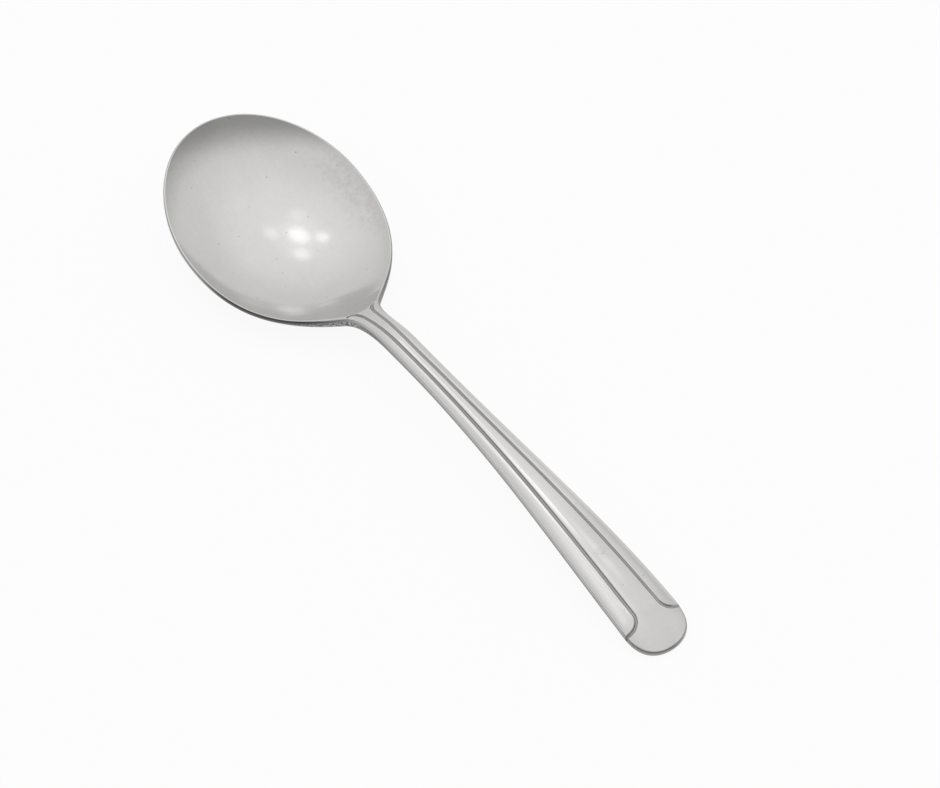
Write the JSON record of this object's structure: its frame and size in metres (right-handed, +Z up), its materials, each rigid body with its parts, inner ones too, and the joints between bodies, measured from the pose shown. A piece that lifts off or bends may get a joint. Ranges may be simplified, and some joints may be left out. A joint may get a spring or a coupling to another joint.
{
  "type": "soup spoon",
  "caption": "Round-bowl metal spoon: a dished egg-shaped bowl runs through rounded shoulders into an arched handle with engraved grooves and a rounded end.",
  "frame": {"origin": "under the middle of the spoon's length and width, on the surface that it lies on", "axes": "+X along the spoon from the bowl's tip to the end of the handle, +Y across it, +Z up out of the bowl"},
  "size_m": [0.156, 0.0426, 0.0144],
  "materials": {
    "steel": "soft satin polish, dull grey in the grooves"
  },
  "bodies": {
    "root": {"bowl": "steel", "handle": "steel"}
  },
  "joints": []
}
